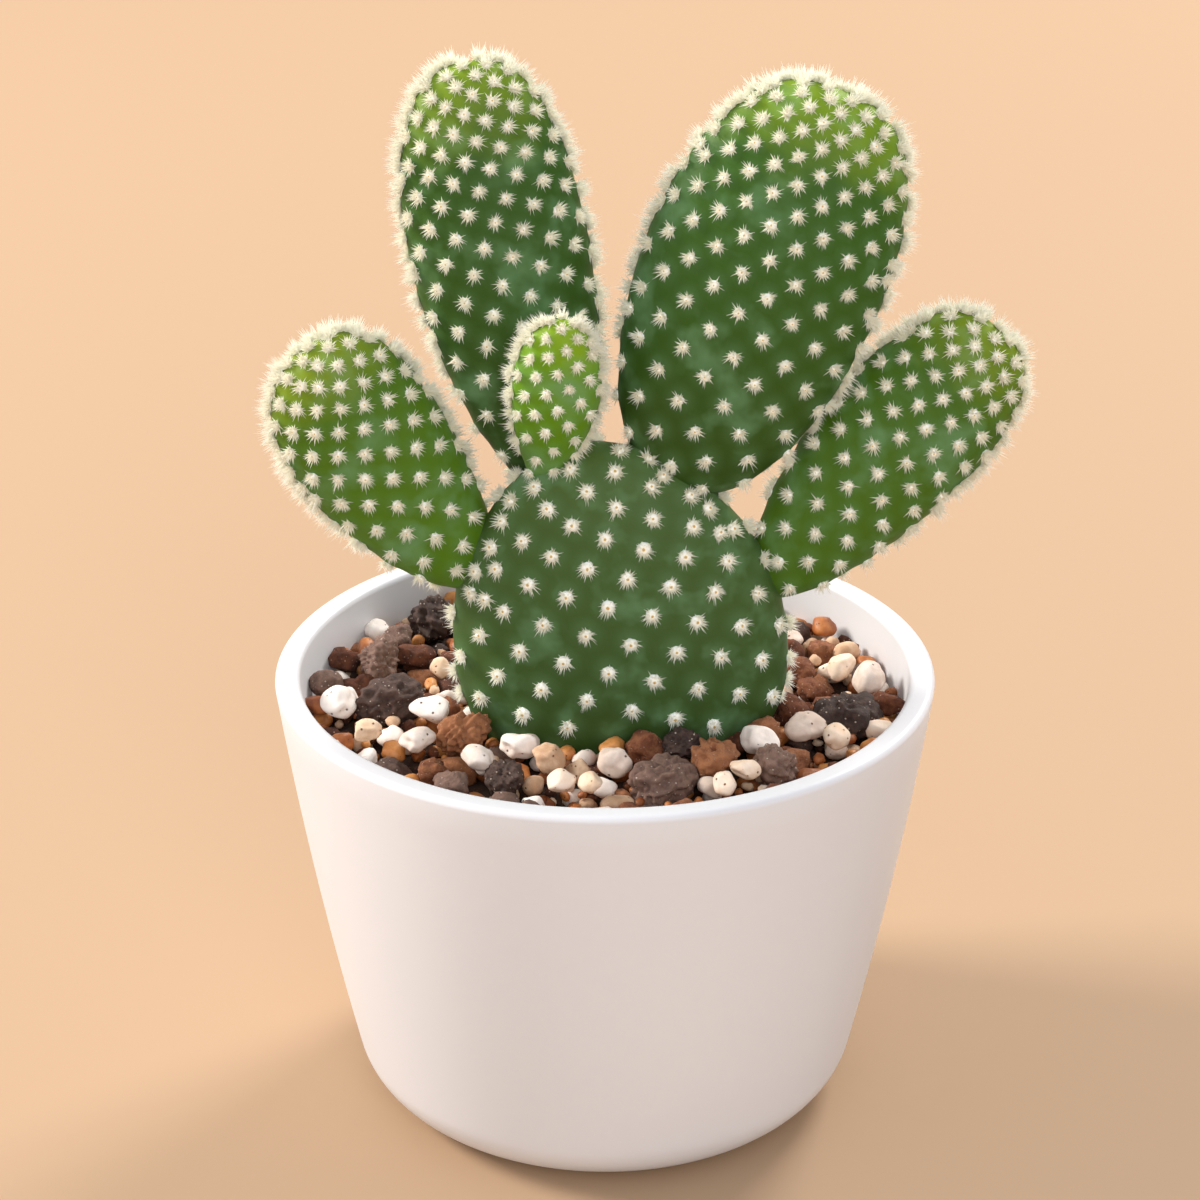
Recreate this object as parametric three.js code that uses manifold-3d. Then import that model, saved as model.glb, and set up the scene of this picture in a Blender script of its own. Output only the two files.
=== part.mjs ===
// A small bunny ears cactus, five flat green pads on one base pad, standing in gravel in a plain white pot.
// Millimetres, +Z up. The origin is the centre of the pot's foot.
// The broad faces of the pads look towards -Y.

import * as THREE from 'three';
import { ConvexGeometry } from 'three/addons/geometries/ConvexGeometry.js';
import { mergeVertices } from 'three/addons/utils/BufferGeometryUtils.js';
import Module from 'manifold-3d';

const wasm = await Module();
wasm.setup();

// Pieces that touch keep this much air between them.
const GAP = 0.3;

// A pad cuts its neighbours with a copy of flat faces, which needs this much more to clear the true skin.
const CUT_MARGIN = 0.1;

const POT = {
  rimRadius: 45,
  height: 63.4,
  wall: 3.4,
  bow: 0.6,
  lipRound: 0.9,
  footRadius: 26,
  footRound: 9.7,
  footRoundEnd: -10,
  floor: 4.5,
  innerRound: 8,
  outerHeights: [24, 40, 53],
  innerHeights: [45, 25],
  sides: 48,
  drainHoles: 3,
  drainRadius: 4,
  drainOffset: 14,
  drainSides: 20,
};

const SOIL = {
  top: 57.2,
  heights: [25, 45],
  sides: 40,
  seed: 7,
};

const GRAVEL = {
  radius: 3.6,
  spread: 0.2,
  spacing: 5.1,
  tries: 9000,
  lift: -0.4,
  unevenness: 0.9,
  rough: 0.14,
  stoneRough: 0.26,
  stretch: 0.25,
  flatness: [0.8, 0.95],
  tilt: 0.8,
  padClearance: 0.6,
};

// Large stones that catch the eye. The lift is how far the middle stands above the soil.
const STONES = [
  { x: -29.8, y: -2.6, radius: 5.2, lift: 0.4 },
  { x: 33.0, y: -6.4, radius: 5.0, lift: 0.3 },
  { x: 7.0, y: -27.0, radius: 4.8, lift: 0.2 },
  { x: -25.0, y: 24.0, radius: 4.6, lift: 0.2 },
  { x: 21.0, y: 27.0, radius: 4.8, lift: 0.2 },
];

// A pad is an egg-shaped outline, flattened. Its root lies inside the base pad. Its axis leans from upright,
// to +X by lean and to +Y by back, in degrees, with a twist about that axis.
// The pitch of its tufts shrinks from root to tip.
const PADS = [
  {
    name: 'base_pad', color: 0x4c7a4e, root: [6.2, -6.8, 43.8], lean: -9.2, back: 0, twist: 0,
    length: 54.9, halfWidth: 22.2, halfThickness: 8.6, egg: -0.06, blunt: 1.1, bend: 0,
    pitch: [6.8, 5.4], seed: 11,
  },
  {
    name: 'tall_left_pad', color: 0x4a8a3a, root: [-6.1, -2.0, 89.9], lean: -11.9, back: 5, twist: 8,
    length: 57.4, halfWidth: 11.3, halfThickness: 6.4, egg: 0.17, blunt: 0.84, bend: -0.8,
    pitch: [5.2, 3.7], seed: 23,
  },
  {
    name: 'tall_right_pad', color: 0x4c8c38, root: [9.2, -6, 91.9], lean: 21.8, back: 4, twist: -7,
    length: 55.6, halfWidth: 15.4, halfThickness: 7.6, egg: 0.09, blunt: 0.79, bend: -0.4,
    pitch: [5.4, 3.8], seed: 31,
  },
  {
    name: 'side_left_pad', color: 0x5f9c36, root: [-16.6, -5.8, 78.35], lean: -33, back: -4, twist: 12,
    length: 39.8, halfWidth: 9.8, halfThickness: 5.8, egg: 0.27, blunt: 0.78, bend: -1,
    pitch: [4.7, 3.4], seed: 43,
  },
  {
    name: 'side_right_pad', color: 0x5f9c36, root: [21.0, -6.2, 77.25], lean: 40.7, back: 4, twist: -10,
    length: 46.2, halfWidth: 9.8, halfThickness: 5.8, egg: 0.24, blunt: 0.79, bend: -0.3,
    pitch: [4.7, 3.4], seed: 59,
  },
  {
    name: 'young_pad', color: 0x8cc03a, root: [-8.6, -7.0, 93.0], lean: 8.4, back: -16, twist: -6,
    length: 25.4, halfWidth: 5.4, halfThickness: 3.6, egg: 0.3, blunt: 1.15, bend: 0.3,
    pitch: [3.9, 3.0], seed: 71,
  },
];

// A tuft is a pair of thorns that lean apart, on a small four-cornered cushion.
const TUFT = {
  corners: 4,
  radius: 0.85,
  height: 2.0,
  splay: 0.85,
  lean: 0.12,
  leastHeight: 0.6,
  soilClearance: 4.2,
};

const GOLDEN_TURN = (3 - Math.sqrt(5)) / 2;
const HEXAGON_CELL = Math.sqrt(3) / 2;

function seededRandom(seed) {
  let state = seed;
  return () => {
    state = (state + 0x6d2b79f5) | 0;
    let t = Math.imul(state ^ (state >>> 15), 1 | state);
    t = (t + Math.imul(t ^ (t >>> 7), 61 | t)) ^ t;
    return ((t ^ (t >>> 14)) >>> 0) / 4294967296;
  };
}

// Geometry helpers

function signedVolume(geometry) {
  const position = geometry.attributes.position;
  const index = geometry.index.array;
  const a = new THREE.Vector3();
  const b = new THREE.Vector3();
  const c = new THREE.Vector3();
  let sum = 0;
  for (let i = 0; i < index.length; i += 3) {
    a.fromBufferAttribute(position, index[i]);
    b.fromBufferAttribute(position, index[i + 1]);
    c.fromBufferAttribute(position, index[i + 2]);
    sum += a.dot(b.cross(c)) / 6;
  }
  return sum;
}

// The same surface with shared corners, no slivers, and faces that point out.
function closed(geometry) {
  const bare = geometry.clone();
  bare.deleteAttribute('normal');
  bare.deleteAttribute('uv');
  const merged = mergeVertices(bare, 1e-4);
  const old = merged.index.array;
  const kept = [];
  for (let i = 0; i < old.length; i += 3) {
    const [a, b, c] = [old[i], old[i + 1], old[i + 2]];
    if (a !== b && b !== c && c !== a) kept.push(a, b, c);
  }
  merged.setIndex(kept);
  if (signedVolume(merged) < 0) {
    for (let i = 0; i < kept.length; i += 3) {
      [kept[i + 1], kept[i + 2]] = [kept[i + 2], kept[i + 1]];
    }
    merged.setIndex(kept);
  }
  return merged;
}

function toSolid(geometry) {
  const ready = closed(geometry);
  return new wasm.Manifold(new wasm.Mesh({
    numProp: 3,
    vertProperties: new Float32Array(ready.attributes.position.array),
    triVerts: new Uint32Array(ready.index.array),
  }));
}

function toGeometry(solid) {
  const mesh = solid.getMesh();
  const geometry = new THREE.BufferGeometry();
  geometry.setAttribute('position', new THREE.BufferAttribute(mesh.vertProperties, 3));
  geometry.setIndex(new THREE.BufferAttribute(mesh.triVerts, 1));
  return geometry;
}

// A turned body: the profile is a list of Vector2 (radius, height), which starts and ends on the axis.
function turned(profile, sides) {
  const geometry = new THREE.LatheGeometry(profile, sides);
  geometry.rotateX(Math.PI / 2);
  return geometry;
}

function arc(centreRadius, centreHeight, radius, from, to, steps) {
  const points = [];
  for (let i = 0; i <= steps; i += 1) {
    const angle = THREE.MathUtils.degToRad(from + ((to - from) * i) / steps);
    const r = centreRadius + radius * Math.cos(angle);
    points.push(new THREE.Vector2(r, centreHeight + radius * Math.sin(angle)));
  }
  return points;
}

// Pot

// The outer wall rises from the round of the foot to the lip, with a slight outward bow.
function wallRadius(height) {
  const angle = THREE.MathUtils.degToRad(POT.footRoundEnd);
  const lowRadius = POT.footRadius + POT.footRound * Math.cos(angle);
  const lowHeight = POT.footRound * (1 + Math.sin(angle));
  const highest = POT.height - POT.lipRound;
  const t = (height - lowHeight) / (highest - lowHeight);
  const straight = lowRadius + (POT.rimRadius - lowRadius) * t;
  return straight + POT.bow * 4 * t * (1 - t);
}

function innerRadius(height) {
  return wallRadius(height) - POT.wall;
}

function outerProfile() {
  const points = [new THREE.Vector2(0, 0)];
  points.push(...arc(POT.footRadius, POT.footRound, POT.footRound, -90, POT.footRoundEnd, 4));
  for (const height of POT.outerHeights) {
    points.push(new THREE.Vector2(wallRadius(height), height));
  }
  const lip = POT.lipRound;
  points.push(...arc(POT.rimRadius - lip, POT.height - lip, lip, 0, 90, 2));
  return points;
}

function innerProfile() {
  const top = POT.height - POT.lipRound;
  const cornerRadius = innerRadius(POT.floor + POT.innerRound) - POT.innerRound;
  const points = [];
  points.push(...arc(POT.rimRadius - POT.wall + POT.lipRound, top, POT.lipRound, 90, 180, 2));
  for (const height of POT.innerHeights) {
    points.push(new THREE.Vector2(innerRadius(height), height));
  }
  points.push(...arc(cornerRadius, POT.floor + POT.innerRound, POT.innerRound, 0, -90, 2));
  points.push(new THREE.Vector2(0, POT.floor));
  return points;
}

function makePot() {
  let pot = toSolid(turned([...outerProfile(), ...innerProfile()], POT.sides));
  for (let i = 0; i < POT.drainHoles; i += 1) {
    const angle = Math.PI / 2 + (i * 2 * Math.PI) / POT.drainHoles;
    const depth = 3 * POT.floor;
    const hole = new THREE.CylinderGeometry(POT.drainRadius, POT.drainRadius, depth, POT.drainSides);
    hole.rotateX(Math.PI / 2);
    hole.translate(POT.drainOffset * Math.cos(angle), POT.drainOffset * Math.sin(angle), POT.floor / 2);
    pot = pot.subtract(toSolid(hole));
  }
  return toGeometry(pot);
}

// Pads

function padAxes(pad) {
  const lean = THREE.MathUtils.degToRad(pad.lean);
  const back = THREE.MathUtils.degToRad(pad.back);
  const along = new THREE.Vector3(Math.sin(lean), Math.tan(back), Math.cos(lean)).normalize();
  const across = new THREE.Vector3(Math.cos(lean), 0, -Math.sin(lean));
  across.addScaledVector(along, -across.dot(along)).normalize();
  across.applyAxisAngle(along, THREE.MathUtils.degToRad(pad.twist));
  const through = new THREE.Vector3().crossVectors(across, along).normalize();
  return { along, across, through };
}

// Share of the full width at the angle phi, which runs from 0 at the root to PI at the tip.
function fullness(pad, phi) {
  return Math.sin(phi) ** pad.blunt * (1 - pad.egg * Math.cos(phi));
}

// A point of the skin, or of a skin grown by the given amount. psi goes round the section.
function skinPoint(pad, axes, phi, psi, grown = 0) {
  const share = (1 - Math.cos(phi)) / 2;
  const round = fullness(pad, phi);
  const bend = pad.bend * 4 * share * (1 - share);
  const along = pad.length * share - grown * Math.cos(phi);
  const grownRound = grown * Math.sin(phi);
  const point = new THREE.Vector3(...pad.root);
  point.addScaledVector(axes.along, along);
  point.addScaledVector(axes.across, bend + (pad.halfWidth * round + grownRound) * Math.cos(psi));
  point.addScaledVector(axes.through, (pad.halfThickness * round + grownRound) * Math.sin(psi));
  return point;
}

function skinNormal(pad, axes, phi, psi) {
  const step = 1e-3;
  const alongPhi = skinPoint(pad, axes, phi + step, psi).sub(skinPoint(pad, axes, phi - step, psi));
  const alongPsi = skinPoint(pad, axes, phi, psi + step).sub(skinPoint(pad, axes, phi, psi - step));
  const normal = new THREE.Vector3().crossVectors(alongPhi, alongPsi).normalize();
  const middle = skinPoint(pad, axes, phi, psi).sub(skinPoint(pad, axes, phi, psi + Math.PI));
  return normal.dot(middle) < 0 ? normal.negate() : normal;
}

// About how far a point is from the pad's skin: negative inside.
function skinDistance(pad, axes, point) {
  const offset = point.clone().sub(new THREE.Vector3(...pad.root));
  const share = THREE.MathUtils.clamp(offset.dot(axes.along) / pad.length, 0.02, 0.98);
  const overrun = offset.dot(axes.along) - share * pad.length;
  const round = fullness(pad, Math.acos(1 - 2 * share));
  const x = offset.dot(axes.across) - pad.bend * 4 * share * (1 - share);
  const y = offset.dot(axes.through);
  const reach = Math.hypot(x / (pad.halfWidth * round), y / (pad.halfThickness * round));
  const side = Math.hypot(x, y) * (1 - 1 / Math.max(reach, 1e-3));
  return side > 0 ? Math.hypot(side, overrun) : Math.max(side, Math.abs(overrun) - 1);
}

// Turns the share of the way round the section, 0 to 1, into psi, so that equal shares have equal lengths.
function evenTurn(pad) {
  const steps = 180;
  const lengths = [0];
  for (let i = 1; i <= steps; i += 1) {
    const psi = (2 * Math.PI * (i - 0.5)) / steps;
    const step = Math.hypot(pad.halfWidth * Math.sin(psi), pad.halfThickness * Math.cos(psi));
    lengths.push(lengths[i - 1] + step);
  }
  return (share) => {
    const wanted = (share - Math.floor(share)) * lengths[steps];
    const i = Math.max(1, lengths.findIndex((length) => length >= wanted));
    const part = (wanted - lengths[i - 1]) / (lengths[i] - lengths[i - 1]);
    return (2 * Math.PI * (i - 1 + part)) / steps;
  };
}

// Tufts stand in a golden-angle spiral from the root to the tip, each with its own share of the skin.
function tuftPlaces(pad, axes) {
  const steps = 240;
  const round = 48;
  const counts = [0];
  for (let i = 1; i <= steps; i += 1) {
    const phi = (Math.PI * (i - 0.5)) / steps;
    const half = Math.PI / steps / 2;
    let area = 0;
    for (let j = 0; j < round; j += 1) {
      const psi = (2 * Math.PI * j) / round;
      const turn = Math.PI / round;
      const down = skinPoint(pad, axes, phi + half, psi).sub(skinPoint(pad, axes, phi - half, psi));
      const side = skinPoint(pad, axes, phi, psi + turn).sub(skinPoint(pad, axes, phi, psi - turn));
      area += down.cross(side).length();
    }
    const share = (1 - Math.cos(phi)) / 2;
    const pitch = THREE.MathUtils.lerp(pad.pitch[0], pad.pitch[1], share);
    counts.push(counts[i - 1] + area / (HEXAGON_CELL * pitch * pitch));
  }
  const turn = evenTurn(pad);
  const places = [];
  for (let n = 0; n < Math.floor(counts[steps]); n += 1) {
    const i = counts.findIndex((count) => count >= n + 0.5);
    const part = (n + 0.5 - counts[i - 1]) / (counts[i] - counts[i - 1]);
    places.push({ phi: (Math.PI * (i - 1 + part)) / steps, psi: turn(n * GOLDEN_TURN) });
  }
  return places;
}

// Height of a thorn that leaves room for its neighbours, or 0 where there is no room for one.
function thornHeight(pad, others, place) {
  let height = TUFT.height;
  for (const other of others) {
    const room = skinDistance(other, padAxes(other), place) - GAP;
    height = Math.min(height, room / 2);
  }
  if (place.z < SOIL.top + TUFT.soilClearance) height = 0;
  return height < TUFT.leastHeight ? 0 : height;
}

function makeTufts(pad, axes, others) {
  const random = seededRandom(pad.seed);
  const tufts = [];
  for (const { phi, psi } of tuftPlaces(pad, axes)) {
    const middle = skinPoint(pad, axes, phi, psi);
    const normal = skinNormal(pad, axes, phi, psi);
    const start = random() * Math.PI;
    const lean = new THREE.Vector3(random() - 0.5, random() - 0.5, random() - 0.5);
    lean.multiplyScalar(TUFT.lean);
    const height = thornHeight(pad, others, middle);
    const e1 = new THREE.Vector3().crossVectors(normal, axes.along).normalize();
    const e2 = new THREE.Vector3().crossVectors(normal, e1);
    const corners = [];
    for (let i = 0; i < TUFT.corners; i += 1) {
      const angle = start + (2 * Math.PI * i) / TUFT.corners;
      const corner = middle.clone();
      corner.addScaledVector(e1, TUFT.radius * Math.cos(angle));
      corner.addScaledVector(e2, TUFT.radius * Math.sin(angle));
      corners.push(corner);
    }
    tufts.push({ middle, normal: normal.add(lean).normalize(), corners, height });
  }
  return tufts;
}

const cornerKey = (v) => `${v.x.toFixed(4)},${v.y.toFixed(4)},${v.z.toFixed(4)}`;

// The skin is the hull of all the tufts' corners, and each face of a cushion grows a thorn.
function padGeometry(tufts) {
  const tuftOf = new Map();
  const corners = [];
  for (const tuft of tufts) {
    for (const corner of tuft.corners) {
      tuftOf.set(cornerKey(corner), tuft);
      corners.push(corner);
    }
  }
  const hull = new ConvexGeometry(corners).attributes.position;
  const triangles = [];
  for (let i = 0; i < hull.count; i += 3) {
    const face = [0, 1, 2].map((k) => new THREE.Vector3().fromBufferAttribute(hull, i + k));
    const owners = face.map((corner) => tuftOf.get(cornerKey(corner)));
    const tuft = owners[0];
    if (!tuft || tuft !== owners[1] || tuft !== owners[2] || tuft.height === 0) {
      triangles.push(...face);
      continue;
    }
    const centre = face[0].clone().add(face[1]).add(face[2]).divideScalar(3);
    const away = centre.clone().sub(tuft.middle).multiplyScalar(TUFT.splay * tuft.height);
    const tip = centre.clone().addScaledVector(tuft.normal, tuft.height).add(away);
    for (let k = 0; k < 3; k += 1) triangles.push(face[k], face[(k + 1) % 3], tip);
  }
  return new THREE.BufferGeometry().setFromPoints(triangles);
}

// A smooth copy of a pad, larger by the given amount, to cut its neighbours with.
function grownPad(pad, amount, rings = 14, sides = 28) {
  const axes = padAxes(pad);
  const points = [];
  for (let i = 0; i <= rings; i += 1) {
    const phi = Math.PI * THREE.MathUtils.clamp(i / rings, 1e-3, 1 - 1e-3);
    for (let j = 0; j < sides; j += 1) {
      points.push(skinPoint(pad, axes, phi, (2 * Math.PI * j) / sides, amount));
    }
  }
  return toSolid(new ConvexGeometry(points));
}

function makePad(pad) {
  const axes = padAxes(pad);
  const others = PADS.filter((other) => other !== pad);
  let solid = toSolid(padGeometry(makeTufts(pad, axes, others)));
  if (pad !== PADS[0]) solid = solid.subtract(grownPad(PADS[0], GAP + CUT_MARGIN));
  return toGeometry(solid);
}

// Soil and gravel

function soilBody() {
  const bottom = POT.floor + GAP;
  const inner = (height) => innerRadius(height) - GAP;
  const round = POT.innerRound;
  const points = [new THREE.Vector2(0, bottom)];
  points.push(...arc(inner(bottom + round) - round - GAP, bottom + round, round, -90, 0, 2));
  for (const height of [...SOIL.heights, SOIL.top]) {
    points.push(new THREE.Vector2(inner(height) - GAP, height));
  }
  points.push(new THREE.Vector2(0, SOIL.top));
  return toSolid(turned(points, SOIL.sides));
}

// A rough stone: a ball of twenty faces, or eighty for a large one, with its corners moved in and out.
function stone(place, radius, detail, random) {
  const geometry = closed(new THREE.IcosahedronGeometry(radius, detail));
  const position = geometry.attributes.position;
  const flatness = THREE.MathUtils.lerp(...GRAVEL.flatness, random());
  const stretch = new THREE.Vector3(1 + GRAVEL.stretch * random(), 1, flatness);
  const rough = detail > 0 ? GRAVEL.stoneRough : GRAVEL.rough;
  const corner = new THREE.Vector3();
  for (let i = 0; i < position.count; i += 1) {
    corner.fromBufferAttribute(position, i).multiplyScalar(1 - rough * random());
    corner.multiply(stretch).multiplyScalar(1 / stretch.x);
    position.setXYZ(i, corner.x, corner.y, corner.z);
  }
  geometry.rotateX((random() - 0.5) * GRAVEL.tilt);
  geometry.rotateZ(random() * Math.PI);
  geometry.translate(place.x, place.y, place.z);
  return toSolid(geometry);
}

// Stones lie as close as their spacing lets them, clear of the pot and of the base pad.
function gravelPlaces(random) {
  const base = PADS[0];
  const axes = padAxes(base);
  const places = STONES.map(({ x, y, radius, lift }) => ({ x, y, z: SOIL.top + lift, radius, detail: 1 }));
  const widest = innerRadius(SOIL.top) - 2 * GAP;
  for (let n = 0; n < GRAVEL.tries; n += 1) {
    const radius = GRAVEL.radius * (1 + GRAVEL.spread * (2 * random() - 1));
    const distance = (widest - radius - GAP) * Math.sqrt(random());
    const angle = 2 * Math.PI * random();
    const x = distance * Math.cos(angle);
    const y = distance * Math.sin(angle);
    const z = SOIL.top + GRAVEL.lift + GRAVEL.unevenness * random();
    const place = new THREE.Vector3(x, y, z);
    const clearOfPad = skinDistance(base, axes, place) > radius * GRAVEL.padClearance;
    const clearOfStones = places.every((other) => {
      const apart = GRAVEL.spacing * ((radius + other.radius) / (2 * GRAVEL.radius));
      return Math.hypot(x - other.x, y - other.y) > apart;
    });
    if (clearOfPad && clearOfStones) places.push({ x, y, z, radius, detail: 0 });
  }
  return places;
}

function makeSoil() {
  const random = seededRandom(SOIL.seed);
  let soil = soilBody();
  for (const place of gravelPlaces(random)) {
    soil = soil.add(stone(place, place.radius, place.detail, random));
  }
  return toGeometry(soil.subtract(grownPad(PADS[0], GAP + CUT_MARGIN)));
}

// The object

function piece(name, geometry, color, roughness) {
  const material = new THREE.MeshStandardMaterial({ color, roughness, metalness: 0 });
  const mesh = new THREE.Mesh(geometry, material);
  mesh.name = name;
  return mesh;
}

const group = new THREE.Group();
group.add(piece('pot', makePot(), 0xf4f2f0, 0.45));
group.add(piece('soil', makeSoil(), 0x8a5a3c, 0.95));
for (const pad of PADS) {
  group.add(piece(pad.name, makePad(pad), pad.color, 0.6));
}

export default group;
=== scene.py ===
# A small bunny ears cactus in a plain white pot: glazed pot, loose gravel, waxy pads and their tufts of
# bristles. Metres, +Z up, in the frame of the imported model, whose solids these pieces stand for.

import math

import bpy
import numpy as np
from bpy.props import FloatProperty, FloatVectorProperty, IntProperty, PointerProperty
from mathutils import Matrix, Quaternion, Vector, kdtree, noise


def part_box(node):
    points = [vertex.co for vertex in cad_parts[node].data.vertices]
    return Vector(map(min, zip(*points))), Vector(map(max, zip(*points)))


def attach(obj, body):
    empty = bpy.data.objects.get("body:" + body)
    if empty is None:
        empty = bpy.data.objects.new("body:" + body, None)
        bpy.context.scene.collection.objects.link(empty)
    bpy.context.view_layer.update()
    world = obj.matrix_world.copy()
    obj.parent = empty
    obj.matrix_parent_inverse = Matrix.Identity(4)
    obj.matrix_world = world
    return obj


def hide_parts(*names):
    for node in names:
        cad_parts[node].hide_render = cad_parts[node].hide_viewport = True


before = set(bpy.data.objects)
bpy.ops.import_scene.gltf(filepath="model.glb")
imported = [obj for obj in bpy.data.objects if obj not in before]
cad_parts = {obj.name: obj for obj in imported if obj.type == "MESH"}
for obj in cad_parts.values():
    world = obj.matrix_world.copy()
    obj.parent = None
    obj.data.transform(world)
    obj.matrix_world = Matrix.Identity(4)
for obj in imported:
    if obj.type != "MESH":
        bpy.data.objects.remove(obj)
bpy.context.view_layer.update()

bl_info = {
    "name": "Bunny Ears Cactus",
    "version": (1, 0, 0),
    "blender": (4, 5, 0),
    "location": "View3D > Sidebar > Cactus",
    "description": "Builds a potted bunny ears cactus with its gravel, pads and bristles",
    "category": "Add Mesh",
}

POT_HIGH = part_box("pot")[1]
MM = 0.001
GOLDEN_TURN = (3 - math.sqrt(5)) / 2
HEXAGON_CELL = math.sqrt(3) / 2

# Closer rows of tufts follow both narrow edges of a pad: how many pitches apart the tufts stand, how far
# round from the edge each row is, and how far the tufts stray from it, in radians.
OLD_EDGES = dict(edge_step=0.7, edge_rows=(-0.55, 0, 0.55), edge_stray=0.12)
GROWN_EDGES = dict(edge_step=0.45, edge_rows=(0,), edge_stray=0.36)

# Each pad is an egg-shaped outline, flattened, with the values of its solid, in millimetres and degrees.
# It leans to +X by lean and to +Y by back, and turns about its own axis by twist. The pitch of its tufts
# shrinks from root to tip, and cell is the size of the mesh's cells.
PADS = {
    "base_pad": dict(
        root=(6.2, -6.8, 43.8), lean=-9.2, back=0, twist=0, length=54.9, half_width=22.2, half_thickness=8.6,
        egg=-0.06, blunt=1.1, bend=0, pitch=(6.0, 4.5), seed=11, cell=0.8, **OLD_EDGES,
    ),
    "tall_left_pad": dict(
        root=(-6.1, -2.0, 89.9), lean=-11.9, back=5, twist=8, length=57.4, half_width=11.3,
        half_thickness=6.4, egg=0.17, blunt=0.84, bend=-0.8, pitch=(4.8, 2.4), seed=23, cell=0.65,
        **GROWN_EDGES,
    ),
    "tall_right_pad": dict(
        root=(9.2, -6, 91.9), lean=21.8, back=4, twist=-7, length=55.6, half_width=15.4, half_thickness=7.6,
        egg=0.09, blunt=0.79, bend=-0.4, pitch=(5.2, 2.5), seed=31, cell=0.7, **GROWN_EDGES,
    ),
    "side_left_pad": dict(
        root=(-16.6, -5.8, 78.35), lean=-33, back=-4, twist=12, length=39.8, half_width=9.8,
        half_thickness=5.8, egg=0.27, blunt=0.78, bend=-1, pitch=(4.4, 2.5), seed=43, cell=0.6, **GROWN_EDGES,
    ),
    "side_right_pad": dict(
        root=(21.0, -6.2, 77.25), lean=40.7, back=4, twist=-10, length=46.2, half_width=9.8,
        half_thickness=5.8, egg=0.24, blunt=0.79, bend=-0.3, pitch=(4.5, 2.5), seed=59, cell=0.6,
        **GROWN_EDGES,
    ),
    "young_pad": dict(
        root=(-8.6, -7.0, 93.0), lean=8.4, back=-16, twist=-6, length=25.4, half_width=5.4,
        half_thickness=3.6, egg=0.3, blunt=1.15, bend=0.3, pitch=(3.5, 2.2), seed=71, cell=0.45,
        **GROWN_EDGES,
    ),
}

# What a tuft is like, in millimetres: radius and height of its felt cushion, how far the tips of its dense
# core and of its wide fan of bristles reach sideways and outwards, how many of each there are, how far the
# fan droops towards the pad's root, and how tan the heart of the cushion is: 0.78 is plain felt, 1 is tan.
TUFTS = {
    "old": dict(
        cushion=0.95, dome=0.75, core=(1.2, 1.25), fan=(1.7, 1.75), counts=(62, 48), droop=0.22, heart=1.25),
    "grown": dict(
        cushion=0.7, dome=0.6, core=(0.98, 1.25), fan=(1.5, 2.1), counts=(50, 42), droop=0.1, heart=1.1),
    "young": dict(
        cushion=0.55, dome=0.5, core=(0.85, 1.1), fan=(1.2, 1.8), counts=(42, 36), droop=0.1, heart=0.9),
}

# Tufts on the narrow edges are fuller, stand out further and have smaller cushions, by these shares.
EDGE_FULLER = 0.75
EDGE_LONGER = 0.2
EDGE_CUSHION_LESS = 0.45

# Which tuft, slot and colours each pad has: colour at the root, in the middle and at the tip.
PAD_LOOKS = {
    "base_pad": dict(tuft="old", slot="old_pad_skin", colours=(0x344B1A, 0x3F5723, 0x48602A)),
    "tall_left_pad": dict(tuft="grown", slot="pad_skin", colours=(0x2C460D, 0x32540F, 0x7E9818)),
    "tall_right_pad": dict(tuft="grown", slot="pad_skin", colours=(0x2E490C, 0x355A0E, 0x82A018)),
    "side_left_pad": dict(tuft="grown", slot="pad_skin", colours=(0x4E7306, 0x496B07, 0x7E900C)),
    "side_right_pad": dict(tuft="grown", slot="pad_skin", colours=(0x456609, 0x41630A, 0x7A8E0D)),
    "young_pad": dict(tuft="young", slot="young_pad_skin", colours=(0x558205, 0x638F06, 0x8CAA0C)),
}

# Kinds of grain: share of the mix, least and greatest radius in millimetres, how much longer than wide,
# number of flat sides knapped off, and height of lumps, of crumbs and depth of pits as shares of the radius.
GRAINS = {
    "white_pumice": dict(share=0.16, radius=(1.4, 2.3), stretch=0.35, flats=9, lumps=0.10),
    "cream_pumice": dict(share=0.16, radius=(1.2, 2.1), stretch=0.35, flats=9, lumps=0.09),
    "amber_clay": dict(share=0.38, radius=(1.0, 2.1), stretch=0.7, flats=8, lumps=0.09),
    "brown_lava": dict(
        share=0.22, radius=(1.4, 2.8), stretch=0.35, flats=6, lumps=0.20, crumb=0.05, pits=0.14),
    "dark_lava": dict(
        share=0.08, radius=(1.8, 3.2), stretch=0.3, flats=6, lumps=0.15, crumb=0.045, pits=0.14),
}
GRIT_KINDS = ("amber_clay", "brown_lava", "amber_clay", "cream_pumice")
GRIT_RADIUS = (0.6, 1.1)

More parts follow.
